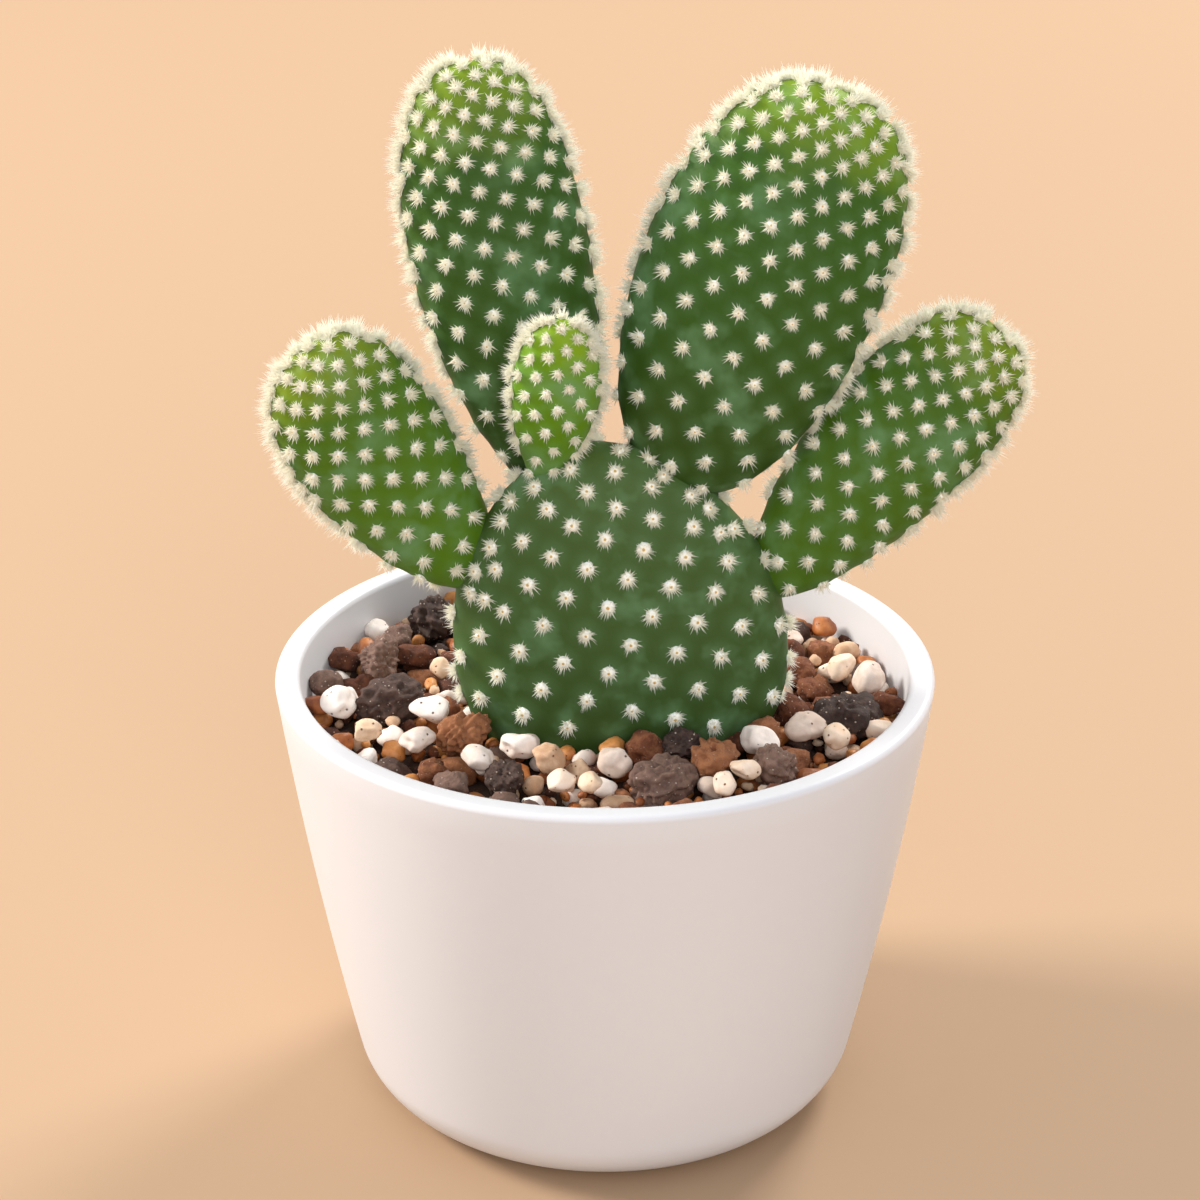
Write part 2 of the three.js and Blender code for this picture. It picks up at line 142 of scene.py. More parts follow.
# Stones that catch the eye: place of the middle and radius, in millimetres.
LARGE_STONES = {
    "dark_lava": [
        (-29.4, -2.8, 4.3), (32.5, -6.9, 4.3), (7.1, -26.3, 4.3), (-12.9, -27.2, 2.9), (-31.9, 10.0, 3.5),
        (10.0, -17.6, 2.6), (22.2, -23.0, 2.9), (-25.0, 24.0, 4.0), (21.0, 27.0, 4.2),
    ],
    "brown_lava": [(14.5, -20.4, 3.4), (-18.8, -13.5, 3.4)],
    "white_pumice": [
        (-23.6, -7.8, 2.5), (-11.5, -18.2, 2.5), (-16.4, -23.0, 2.4), (1.2, -23.0, 2.4), (20.2, -17.0, 2.5),
        (26.7, -12.6, 2.8), (-36.0, -5.4, 2.6), (-24.8, -17.0, 2.4), (36.4, 2.0, 2.6),
    ],
    "cream_pumice": [
        (-7.5, -22.2, 2.4), (-1.9, -29.7, 1.9), (-5.8, -29.2, 1.9), (18.1, -25.9, 1.9), (15.2, -29.6, 1.9),
        (30.5, -16.5, 2.0), (-31.5, -14.5, 2.0), (33.0, 5.5, 2.2),
    ],
}

# Looks of each mineral: three tones, roughness, size of its clouds of tone in millimetres, size, share and
# colour of its pits or glints, and depth of its fine relief in millimetres. The dark pits of pumice and clay
# are painted shade, and the pale glints of lava are painted highlights.
MINERALS = {
    # Foamed volcanic glass, tumbled: chalky white with a few pinholes darkened with painted shade.
    "white_pumice": dict(
        tones=(0xD2BCAC, 0xE9D9CD, 0xF6ECE3), roughness=0.85, cloud=2.4, pits=(1.3, 0.16, 0x6B5140),
        relief=0.25),
    # The same pumice stained by iron: cream to tan, with pinholes darkened with painted shade.
    "cream_pumice": dict(
        tones=(0xC49A78, 0xE6C6A6, 0xF4DECA), roughness=0.85, cloud=2.2, pits=(1.2, 0.16, 0x7A5230),
        relief=0.25),
    # Baked clay granules: amber to brown, with a slight shine on worn faces and small pits darkened with
    # painted shade.
    "amber_clay": dict(
        tones=(0x7A3C18, 0xAE6632, 0xD69250), roughness=0.5, cloud=2.0, pits=(0.9, 0.12, 0x4A2610),
        relief=0.2),
    # Crumbly red-brown lava: matte, with small pale glints painted on as highlights.
    "brown_lava": dict(
        tones=(0x42200F, 0x6E3C22, 0x9A6440), roughness=0.9, cloud=1.2, pits=(0.7, 0.2, 0xB99078),
        relief=0.7),
    # Dense dark lava: grey-brown, full of cells, with pale glints painted on as highlights.
    "dark_lava": dict(
        tones=(0x38261F, 0x5A4238, 0x806355), roughness=0.8, cloud=1.2, pits=(0.8, 0.2, 0xC8B4A4),
        relief=0.7),
    # Damp peat with sand: dark, matte and crumbly.
    "damp_soil": dict(
        tones=(0x23140C, 0x3A2418, 0x5A3A26), roughness=0.95, cloud=1.0, pits=(0.8, 0.2, 0x7B4A28),
        relief=0.5),
}

# The camera, fitted to the ellipses of the pot's rim and foot: place in metres, tilt in degrees, lens in
# millimetres. The lamps' places and sizes are in metres.
CAMERA = dict(place=(-0.00068, -0.36298, 0.23537), tilt=65.861, lens=87.93)
LAMPS = {
    "key": dict(place=(-1.5, 0.35, 1.0), size=0.6, colour=0xFFF8F0),
    "fill": dict(place=(0.3, -1.8, 1.0), size=1.2, colour=0xFFFAF6),
    "rim": dict(place=(0.9, 1.3, 1.3), size=0.7, colour=0xFFFAF4),
}
LAMP_TARGET = (0, 0, 0.08)
SKY_COLOUR = 0xF0F6FF


# Settings

def linear(code):
    """Linear colour of an sRGB hex value such as 0xFFEEDD."""
    parts = [(code >> shift & 0xFF) / 255 for shift in (16, 8, 0)]
    return tuple(c / 12.92 if c <= 0.04045 else ((c + 0.055) / 1.055) ** 2.4 for c in parts)


def a_length(name, description, default):
    return FloatProperty(name=name, description=description, default=default, unit="LENGTH")


def a_count(name, description, default):
    return IntProperty(name=name, description=description, default=default, min=0)


def a_number(name, description, default):
    return FloatProperty(name=name, description=description, default=default)


def a_colour(name, description, code):
    return FloatVectorProperty(name=name, description=description, default=linear(code), subtype="COLOR")


class PotSettings(bpy.types.PropertyGroup):
    wall: a_length("Wall", "Thickness of the wall", 0.0034)
    bow: a_length("Bow", "Outward bow of the wall", 0.0006)
    lip_round: a_length("Lip", "Round of the lip", 0.0009)
    foot_radius: a_length("Foot", "Radius of the flat under the foot", 0.026)
    foot_round: a_length("Foot Round", "Radius of the round above the foot", 0.0097)
    floor: a_length("Floor", "Thickness of the floor", 0.0045)
    inner_round: a_length("Inner Round", "Round between wall and floor inside", 0.008)
    drain_radius: a_length("Drain Radius", "Radius of each drainage hole", 0.004)
    drain_offset: a_length("Drain Offset", "Middle of the pot to each hole", 0.014)
    drain_holes: a_count("Drain Holes", "Number of drainage holes", 3)
    sides: a_count("Sides", "Number of sides of the turned body", 144)
    glaze: a_colour("Glaze", "Colour of the satin glaze", 0xDDDDE0)
    bare_clay: a_colour("Bare Clay", "Colour of the unglazed foot", 0xD9CDBC)


class GravelSettings(bpy.types.PropertyGroup):
    bed: a_length("Bed", "Height of the soil under the gravel", 0.0547)
    top: a_length("Top", "Height that no grain passes", 0.0618)
    stones: a_count("Stones", "Most stones in the dressing", 430)
    grit: a_count("Grit", "Most small grains between the stones", 420)
    closeness: a_number("Closeness", "How near stones lie, as a share of their radii", 0.86)
    seed: a_count("Seed", "Seed of every random draw of the gravel", 7)


class PadSettings(bpy.types.PropertyGroup):
    relief: a_length("Relief", "Height of the mound under each tuft", 0.00025)
    unevenness: a_length("Unevenness", "Height of the skin's soft waves", 0.00015)
    wave: a_length("Wave", "Length of the skin's soft waves", 0.012)
    # The bloom colour also paints the mounds under the tufts paler, as painted light.
    bloom: a_colour("Bloom", "Colour of the waxy bloom", 0x76A074)


class TuftSettings(bpy.types.PropertyGroup):
    thickness: a_length("Thickness", "Thickness of a bristle at its root", 0.00018)
    seed: a_count("Seed", "Seed of every random draw of the bristles", 3)
    root_colour: a_colour("Root", "Colour of a bristle at its root", 0xFFFCEC)
    tip_colour: a_colour("Tip", "Colour of a bristle at its tip", 0xFFFFFB)
    felt: a_colour("Felt", "Colour of the felt cushion", 0xFFFBE8)


class StageSettings(bpy.types.PropertyGroup):
    floor: a_colour("Floor", "Colour of the floor and backdrop", 0xB09274)
    key: a_number("Key", "Power of the key light in watts", 39.0)
    fill: a_number("Fill", "Power of the front light in watts", 14.0)
    rim: a_number("Rim", "Power of the light behind in watts", 32.0)
    sky: a_number("Sky", "Strength of the light from all round", 0.8)


# Meshes

def new_piece(name, points, faces, material, slot, *nodes, smooth=True, **attributes):
    """A closed mesh that rides with the part and stands for the given nodes."""
    mesh = bpy.data.meshes.new(name)
    mesh.from_pydata(np.asarray(points).tolist(), [], np.asarray(faces).tolist())
    for key, values in attributes.items():
        layer = mesh.attributes.new(key, "FLOAT", "POINT")
        layer.data.foreach_set("value", np.asarray(values, dtype=np.float32))
    if smooth:
        mesh.shade_smooth()
    mesh.materials.append(material)
    piece = bpy.data.objects.new(name, mesh)
    bpy.context.scene.collection.objects.link(piece)
    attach(piece, "root")
    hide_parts(*nodes)
    return piece


def tube_faces(rings, sides):
    """Triangles of a closed skin: a point, rings of points, and a last point, each ring turning leftwards."""
    faces = []
    last = 1 + rings * sides
    for j in range(sides):
        k = (j + 1) % sides
        faces.append((0, 1 + k, 1 + j))
        faces.append((last, last - sides + j, last - sides + k))
    j = np.arange(sides)
    k = (j + 1) % sides
    for i in range(rings - 1):
        a = 1 + i * sides
        b = a + sides
        faces.extend(np.stack([a + j, a + k, b + k], axis=1).tolist())
        faces.extend(np.stack([a + j, b + k, b + j], axis=1).tolist())
    return faces


def waves(points, length, seed):
    """Soft random heights, about -1 to 1, with the given distance from crest to crest."""
    shift = Vector((seed * 1.7, seed * 0.9, seed * 0.4))
    return np.array([noise.noise(Vector(point) / length + shift) for point in points])


def unit(vectors):
    return vectors / np.linalg.norm(vectors, axis=-1, keepdims=True)


def arc(centre_radius, centre_height, radius, start, end, steps):
    """Points (radius, height) along an arc, with its angles in degrees."""
    angles = np.radians(np.linspace(start, end, steps + 1))
    return np.stack(
        [centre_radius + radius * np.cos(angles), centre_height + radius * np.sin(angles)], axis=1)


def turn(profile, sides):
    """Points and triangles of a body turned about Z, whose profile runs up from the axis to the axis."""
    angles = np.arange(sides) * 2 * math.pi / sides
    inner = profile[1:-1]
    rings = np.stack([
        np.outer(inner[:, 0], np.cos(angles)),
        np.outer(inner[:, 0], np.sin(angles)),
        np.outer(inner[:, 1], np.ones(sides)),
    ], axis=2).reshape(-1, 3)
    points = np.vstack([(0, 0, profile[0][1]), rings, (0, 0, profile[-1][1])])
    return points, tube_faces(len(inner), sides)


# Materials

def per_mm(size):
    """Texture scale at which a pattern repeats about every size millimetres."""
    return 1 / (size * MM)


def add_node(tree, kind, settings, links=None):
    """Adds a node. A setting is a socket's value, a property or a ramp's stops. A link goes from an output of
    another node, given as (node, output), to a socket."""
    node = tree.nodes.new("ShaderNode" + kind)
    for key, value in settings.items():
        if key == "stops":
            ramp = node.color_ramp.elements
            while len(ramp) < len(value):
                ramp.new(1.0)
            for stop, (place, colour) in zip(ramp, value):
                stop.position = place
                stop.color = (*colour, 1) if len(colour) == 3 else colour
        elif isinstance(key, int) or key in node.inputs:
            node.inputs[key].default_value = value
        else:
            setattr(node, key, value)
    for key, (source, output) in (links or {}).items():
        tree.links.new(source.outputs[output], node.inputs[key])
    return node


def new_material(name):
    material = bpy.data.materials.new(name)
    material.use_nodes = True
    material.node_tree.nodes.clear()
    return material, material.node_tree


def finish_material(tree, surface):
    add_node(tree, "OutputMaterial", {}, {"Surface": (surface, "BSDF")})


def satin_glaze(settings):
    """Cast stoneware under a thin satin glaze: to the eye an even, soft white with a faint broad shine."""
    material, tree = new_material("satin_white_glaze")
    place = add_node(tree, "NewGeometry", {})
    height = add_node(tree, "SeparateXYZ", {}, {"Vector": (place, "Position")})
    glazed = add_node(
        tree, "MapRange", {"From Min": 0.2 * MM, "From Max": 0.6 * MM}, {"Value": (height, "Z")})
    casting = add_node(tree, "TexNoise", {"Scale": per_mm(18), "Detail": 2}, {"Vector": (place, "Position")})
    peel = add_node(tree, "TexNoise", {"Scale": per_mm(1.2), "Detail": 2}, {"Vector": (place, "Position")})
    colour = add_node(
        tree, "Mix", {"data_type": "RGBA", 6: (*settings.bare_clay, 1), 7: (*settings.glaze, 1)},
        {0: (glazed, "Result")})
    shine = add_node(tree, "MapRange", {"To Min": 0.36, "To Max": 0.46}, {"Value": (casting, "Fac")})
    rough = add_node(tree, "Mix", {2: 0.85}, {0: (glazed, "Result"), 3: (shine, "Result")})
    broad = add_node(tree, "Bump", {"Strength": 0.12, "Distance": 0.3 * MM}, {"Height": (casting, "Fac")})
    bump = add_node(
        tree, "Bump", {"Strength": 0.08, "Distance": 0.05 * MM},
        {"Height": (peel, "Fac"), "Normal": (broad, "Normal")})
    surface = add_node(
        tree, "BsdfPrincipled", {"IOR": 1.5},
        {"Base Color": (colour, 2), "Roughness": (rough, 0), "Normal": (bump, "Normal")})
    finish_material(tree, surface)
    return material


def waxy_skin(name, colours, bloom):
    """Cactus skin under a thin wax bloom: deep green, yellow-green at the tip, with bluish patches. The
    mounds under the tufts are painted paler, as painted light, and the skin between them stays darker, as
    painted shade. Its pores and grain are drawn about half a millimetre wide, because real ones are too fine
    to show."""
    material, tree = new_material(name)
    place = add_node(tree, "NewGeometry", {})
    growth = add_node(tree, "Attribute", {"attribute_name": "growth"})
    mound = add_node(tree, "Attribute", {"attribute_name": "mound"})
    patches = add_node(
        tree, "TexNoise", {"Scale": per_mm(7), "Detail": 3, "Roughness": 0.55},
        {"Vector": (place, "Position")})
    grain = add_node(tree, "TexNoise", {"Scale": per_mm(0.5), "Detail": 2}, {"Vector": (place, "Position")})
    dots = add_node(tree, "TexVoronoi", {"Scale": per_mm(0.45)}, {"Vector": (place, "Position")})
    drift = add_node(tree, "MapRange", {"To Min": -0.12, "To Max": 0.12}, {"Value": (patches, "Fac")})
    wander = add_node(tree, "Math", {"operation": "ADD"}, {0: (growth, "Fac"), 1: (drift, "Result")})
    stops = [(0.1, linear(colours[0])), (0.78, linear(colours[1])), (1.0, linear(colours[2]))]
    green = add_node(tree, "ValToRGB", {"stops": stops}, {"Fac": (wander, 0)})
    haze = add_node(
        tree, "MapRange", {"From Min": 0.52, "From Max": 0.75, "To Max": 0.5}, {"Value": (patches, "Fac")})
    hazed = add_node(
        tree, "Mix", {"data_type": "RGBA", 7: (*bloom, 1)}, {0: (haze, "Result"), 6: (green, "Color")})
    # Painted light: each mound under a tuft is mixed towards the bloom colour, so the mound tops look lit and
    # the skin between the tufts looks shaded.
    painted_mound_light = add_node(tree, "Math", {"operation": "MULTIPLY", 1: 0.25}, {0: (mound, "Fac")})
    skin = add_node(tree, "Mix", {"data_type": "RGBA", 7: (*bloom, 1)}, {0: (painted_mound_light, 0), 6: (hazed, 2)})
    shine = add_node(tree, "MapRange", {"To Min": 0.42, "To Max": 0.62}, {"Value": (patches, "Fac")})
    pores = add_node(tree, "Bump", {"Strength": 0.25, "Distance": 0.05 * MM}, {"Height": (dots, "Distance")})
    bump = add_node(
        tree, "Bump", {"Strength": 0.3, "Distance": 0.08 * MM},
        {"Height": (grain, "Fac"), "Normal": (pores, "Normal")})
    surface = add_node(
        tree, "BsdfPrincipled", {"IOR": 1.45, "Specular IOR Level": 0.2},
        {"Base Color": (skin, 2), "Roughness": (shine, "Result"), "Normal": (bump, "Normal")})
    finish_material(tree, surface)
    return material


def bristle_material(settings):
    """Barbed glassy bristles: cream at the root, white at the tip, and light shines partly through. They are
    fewer and thicker than real ones, which are too fine to show."""
    material, tree = new_material("cactus_bristle")
    reach = add_node(tree, "Attribute", {"attribute_name": "reach"})
    colour = add_node(
        tree, "Mix", {"data_type": "RGBA", 6: (*settings.root_colour, 1), 7: (*settings.tip_colour, 1)},
        {0: (reach, "Fac")})
    lit = add_node(tree, "BsdfPrincipled", {"IOR": 1.5, "Roughness": 0.55}, {"Base Color": (colour, 2)})
    shone_through = add_node(tree, "BsdfTranslucent", {}, {"Color": (colour, 2)})
    surface = add_node(tree, "MixShader", {"Fac": 0.5}, {1: (lit, "BSDF"), 2: (shone_through, "BSDF")})
    add_node(tree, "OutputMaterial", {}, {"Surface": (surface, "Shader")})
    return material


def felt_material(settings):
    """Short wool of the cushion that the bristles stand in: matte, cream to tan, darker in its middle. Its
    locks are drawn 0.35 mm wide, because real ones are too fine to show."""
    material, tree = new_material("areole_felt")
    place = add_node(tree, "NewGeometry", {})
    wool = add_node(tree, "TexNoise", {"Scale": per_mm(0.35), "Detail": 2}, {"Vector": (place, "Position")})
    reach = add_node(tree, "Attribute", {"attribute_name": "reach"})
    stops = [(0.3, settings.tip_colour), (0.78, settings.felt), (1.0, linear(0xC9A25C))]
    fleck = add_node(tree, "MapRange", {"To Min": -0.15, "To Max": 0.15}, {"Value": (wool, "Fac")})
    mixed = add_node(tree, "Math", {"operation": "ADD"}, {0: (reach, "Fac"), 1: (fleck, "Result")})
    colour = add_node(tree, "ValToRGB", {"stops": stops}, {"Fac": (mixed, 0)})
    bump = add_node(tree, "Bump", {"Strength": 0.8, "Distance": 0.1 * MM}, {"Height": (wool, "Fac")})
    surface = add_node(
        tree, "BsdfPrincipled", {"IOR": 1.5, "Roughness": 0.9},
        {"Base Color": (colour, "Color"), "Normal": (bump, "Normal")})
    finish_material(tree, surface)
    return material


def mineral_material(name, tones, roughness, cloud, pits, relief):
    """Stone in three tones, between stones and within one, with small pits or glints of another colour: the
    dark pits of pumice and clay are painted shade, and the pale glints of lava are painted highlights.
    """
    pit_size, pit_share, painted_pit_colour = pits
    material, tree = new_material(name)
    place = add_node(tree, "NewGeometry", {})
    tint = add_node(tree, "Attribute", {"attribute_name": "tint"})
    clouds = add_node(
        tree, "TexNoise", {"Scale": per_mm(cloud), "Detail": 5, "Roughness": 0.65},
        {"Vector": (place, "Position")})
    spread = add_node(
        tree, "MapRange", {"From Min": 0.3, "From Max": 0.7, "To Min": -0.25, "To Max": 0.25},
        {"Value": (clouds, "Fac")})
    tone = add_node(
        tree, "Math", {"operation": "ADD", "use_clamp": True}, {0: (tint, "Fac"), 1: (spread, "Result")})
    stops = [(0.1, linear(tones[0])), (0.5, linear(tones[1])), (0.9, linear(tones[2]))]
    body = add_node(tree, "ValToRGB", {"stops": stops}, {"Fac": (tone, 0)})
    cells = add_node(tree, "TexVoronoi", {"Scale": per_mm(pit_size)}, {"Vector": (place, "Position")})
    # The pit mask sinks each pit in the bump and paints it in the pit colour: painted shade in the dark pits
    # of pumice and clay, painted highlights in the pale glints of lava.
    pit = add_node(
        tree, "MapRange", {"From Min": pit_share, "From Max": pit_share * 0.5},
        {"Value": (cells, "Distance")})
    colour = add_node(
        tree, "Mix", {"data_type": "RGBA", 7: (*linear(painted_pit_colour), 1)},
        {0: (pit, "Result"), 6: (body, "Color")})
    sunk = add_node(tree, "Math", {"operation": "SUBTRACT"}, {0: (clouds, "Fac"), 1: (pit, "Result")})
    bump = add_node(tree, "Bump", {"Strength": 0.7, "Distance": relief * MM}, {"Height": (sunk, 0)})
    surface = add_node(
        tree, "BsdfPrincipled", {"IOR": 1.5, "Roughness": roughness},
        {"Base Color": (colour, 2), "Normal": (bump, "Normal")})
    finish_material(tree, surface)
    return material


# Pot

# Where the foot's round meets the wall, in degrees below level.
FOOT_ROUND_END = 10


def wall_radius(pot, height):
    """Outer radius of the pot at a height: straight from the foot's round to the lip, with a slight bow."""
    rim = POT_HIGH.x
    top = POT_HIGH.z - pot.lip_round
    end = math.radians(FOOT_ROUND_END)
    low_height = pot.foot_round * (1 - math.sin(end))
    low_radius = pot.foot_radius + pot.foot_round * math.cos(end)
    t = (height - low_height) / (top - low_height)
    return low_radius + (rim - low_radius) * t + pot.bow * 4 * t * (1 - t)


def pot_profile(pot):
    """Radius and height along the pot's section, from under the foot, over the lip, to the inner floor."""
    rim = POT_HIGH.x
    top = POT_HIGH.z - pot.lip_round
    corner_height = pot.floor + pot.inner_round
    corner_radius = wall_radius(pot, corner_height) - pot.wall - pot.inner_round
    heights = np.linspace(12 * MM, top - 4 * MM, 14)
    outer = [(wall_radius(pot, height), height) for height in heights]
    inner = [(wall_radius(pot, height) - pot.wall, height) for height in heights[:0:-1]]
    return np.vstack([
        (0, 0),
        [(radius, 0) for radius in np.linspace(pot.foot_radius * 0.25, pot.foot_radius * 0.95, 4)],
        arc(pot.foot_radius, pot.foot_round, pot.foot_round, -90, -FOOT_ROUND_END, 14),
        outer,
        arc(rim - pot.lip_round, top, pot.lip_round, 0, 90, 8),
        arc(rim - pot.wall + pot.lip_round, top, pot.lip_round, 90, 180, 8),
        inner,
        arc(corner_radius, corner_height, pot.inner_round, 0, -90, 8),
        [(radius, pot.floor) for radius in np.linspace(corner_radius * 0.9, corner_radius * 0.25, 4)],
        (0, pot.floor),
    ])


class CACTUS_OT_pot(bpy.types.Operator):
    """Turns the white pot and drills its drainage holes"""
    bl_idname = "cactus.pot"
    bl_label = "Pot"

    def execute(self, context):
        pot = context.scene.cactus_pot
        points, faces = turn(pot_profile(pot), pot.sides)
        body = new_piece("glazed_pot", points, faces, satin_glaze(pot), "white_ceramic", "pot")
        for i in range(pot.drain_holes):
            angle = math.pi / 2 + i * 2 * math.pi / pot.drain_holes
            place = (pot.drain_offset * math.cos(angle), pot.drain_offset * math.sin(angle), pot.floor / 2)
            bpy.ops.mesh.primitive_cylinder_add(
                vertices=48, radius=pot.drain_radius, depth=3 * pot.floor, location=place)
            drill = context.active_object
            cut = body.modifiers.new("drain", "BOOLEAN")
            cut.object = drill
            cut.solver = "EXACT"
            context.view_layer.update()
            solid = body.evaluated_get(context.evaluated_depsgraph_get())
            drilled = bpy.data.meshes.new_from_object(solid)
            body.modifiers.clear()
            body.data = drilled
            bpy.data.objects.remove(drill)
        body.data.shade_smooth()
        body.data.set_sharp_from_angle(angle=math.radians(40))
        return {"FINISHED"}


# Pads

# phi at which the row of tufts on an edge, and a row beside it, start.
EDGE_ROW_START = 1.05
SIDE_ROW_START = 1.9


class Pad:
    """The skin of one pad. phi runs from 0 at the root to pi at the tip, and psi goes round the section."""

    def __init__(self, name):
        for key, value in PADS[name].items():
            setattr(self, key, value)
        self.name = name
        for key in ("length", "half_width", "half_thickness", "bend"):
            setattr(self, key, getattr(self, key) * MM)
        self.root = np.array(self.root) * MM
        lean, back = math.radians(self.lean), math.radians(self.back)
        along = Vector((math.sin(lean) * math.cos(back), math.sin(back), math.cos(lean) * math.cos(back)))
        across = Vector((math.cos(lean), 0, -math.sin(lean)))
        across = (across - along * across.dot(along)).normalized()
        across = Quaternion(along, math.radians(self.twist)) @ across
        self.along, self.across = np.array(along), np.array(across)
        self.through = np.array(across.cross(along))

    def fullness(self, phi):
        """Share of the full width at phi."""
        return np.clip(np.sin(phi), 0, 1) ** self.blunt * (1 - self.egg * np.cos(phi))

    def pitch_at(self, share):
        """Distance between neighbouring tufts at a share of the length: it shrinks mostly near the tip."""
        return (self.pitch[0] + (self.pitch[1] - self.pitch[0]) * share ** 2) * MM

    def skin(self, phi, psi):
        share = (1 - np.cos(phi)) / 2
        full = self.fullness(phi)
        side = self.bend * 4 * share * (1 - share) + self.half_width * full * np.cos(psi)
        depth = self.half_thickness * full * np.sin(psi)
        up = self.length * share
        steps = (up, self.along), (side, self.across), (depth, self.through)
        return self.root + sum(size[..., None] * axis for size, axis in steps)

    def normal(self, phi, psi):
        step = 1e-3
        down = self.skin(phi + step, psi) - self.skin(phi - step, psi)
        side = self.skin(phi, psi + step) - self.skin(phi, psi - step)
        normal = unit(np.cross(down, side))
        outward = self.skin(phi, psi) - self.skin(phi, psi + math.pi)
        return normal * np.sign(np.sum(normal * outward, axis=-1, keepdims=True))

    def distance(self, points):
        """About how far points are from the skin: negative inside."""
        offset = points - self.root
        share = np.clip(offset @ self.along / self.length, 0.02, 0.98)
        overrun = offset @ self.along - share * self.length
        full = self.fullness(np.arccos(1 - 2 * share))
        x = offset @ self.across - self.bend * 4 * share * (1 - share)
        y = offset @ self.through
        reach = np.hypot(x / (self.half_width * full), y / (self.half_thickness * full))
        side = np.hypot(x, y) * (1 - 1 / np.maximum(reach, 1e-3))
        return np.where(side > 0, np.hypot(side, overrun), np.maximum(side, np.abs(overrun) - MM))

    def even_turn(self, shares):
        """psi at each share of the way round, so that equal shares have equal lengths."""
        steps = 180
        psi = 2 * math.pi * (np.arange(steps) + 0.5) / steps
        lengths = np.cumsum(np.hypot(self.half_width * np.sin(psi), self.half_thickness * np.cos(psi)))
        lengths = np.insert(lengths, 0, 0) / lengths[-1]
        return np.interp(shares % 1, lengths, np.linspace(0, 2 * math.pi, steps + 1))

    def tuft_places(self):
        """phi and psi of the tufts, which stand in a golden-angle spiral from the root to the tip."""
        steps, around = 240, 48
        middle = math.pi * (np.arange(steps) + 0.5) / steps
        phi, psi = np.meshgrid(middle, 2 * math.pi * np.arange(around) / around, indexing="ij")
        half, half_turn = math.pi / steps / 2, math.pi / around
        down = self.skin(phi + half, psi) - self.skin(phi - half, psi)
        side = self.skin(phi, psi + half_turn) - self.skin(phi, psi - half_turn)
        area = np.linalg.norm(np.cross(down, side), axis=-1).sum(axis=1)
        pitch = self.pitch_at((1 - np.cos(middle)) / 2)
        counts = np.insert(np.cumsum(area / (HEXAGON_CELL * pitch ** 2)), 0, 0)
        n = np.arange(int(counts[-1]))
        places = np.interp(n + 0.5, counts, np.linspace(0, math.pi, steps + 1))
        return places, self.even_turn(n * GOLDEN_TURN)

    def edge_places(self, rng):
        """phi and psi of the closer rows of tufts along both narrow edges of the pad."""
        phi, psi = [], []
        for edge in [side + row for side in (0, math.pi) for row in self.edge_rows]:
            start = EDGE_ROW_START if edge in (0, math.pi) else SIDE_ROW_START
            fine = np.linspace(start, math.pi - 0.05, 1000)
            pitch = self.pitch_at((1 - np.cos(fine)) / 2)
            path = self.skin(fine, np.full_like(fine, edge))
            steps = np.linalg.norm(np.diff(path, axis=0), axis=1) / (self.edge_step * pitch[1:])
            passed = np.insert(np.cumsum(steps), 0, 0)
            found = np.interp(np.arange(int(passed[-1])) + rng.uniform(0, 1), passed, fine)
            phi.append(found)
            psi.append(edge + rng.uniform(-self.edge_stray, self.edge_stray, len(found)))
        return np.concatenate(phi), np.concatenate(psi) % (2 * math.pi)

    def mesh_grid(self):
        """phi and psi of the rings between the two ends, with cells of about the same size everywhere."""
        fine = np.linspace(0, math.pi, 2000)
        path = self.skin(fine, np.zeros_like(fine))
        travelled = np.insert(np.cumsum(np.linalg.norm(np.diff(path, axis=0), axis=1)), 0, 0)
        rings = int(travelled[-1] / (self.cell * MM))
        phi = np.interp(np.linspace(0, travelled[-1], rings + 2)[1:-1], travelled, fine)
        around = 2 * math.pi * math.sqrt((self.half_width ** 2 + self.half_thickness ** 2) / 2)
        sides = int(around / (self.cell * MM))
        return phi, self.even_turn(np.arange(sides) / sides)


def skin_lift(pad, points, settings):
    """How far the real skin stands off the plain egg shape, in soft waves."""
    return settings.unevenness * waves(points, settings.wave, pad.seed)


class Tufts:
    """Places, directions and growth of a pad's tufts, on its lifted skin."""

    def __init__(self, pad, settings):
        phi, psi = pad.tuft_places()
        spiral = pad.skin(phi, psi)
        edge_phi, edge_psi = pad.edge_places(np.random.default_rng(pad.seed))
        edge = pad.skin(edge_phi, edge_psi)
        apart = np.linalg.norm(edge[:, None] - spiral, axis=2).min(axis=1)
        added = apart > 0.4 * pad.pitch[1] * MM  # the spiral already has a tuft at the other places
        phi = np.concatenate([phi, edge_phi[added]])
        psi = np.concatenate([psi, edge_psi[added]])
        points = pad.skin(phi, psi)
        self.normals = pad.normal(phi, psi)
        lift = skin_lift(pad, points, settings) + settings.relief
        self.middles = points + self.normals * lift[:, None]
        grown = np.clip(((1 - np.cos(phi)) / 2 - 0.15) / 0.35, 0, 1)
        self.edgewise = (1 - np.abs(self.normals @ pad.through)) * grown
        self.ups = unit(pad.along - self.normals * (self.normals @ pad.along)[:, None])
        self.sides = np.cross(self.normals, self.ups)

    def keep(self, chosen):
        for key in ("middles", "normals", "edgewise", "ups", "sides"):
            setattr(self, key, getattr(self, key)[chosen])


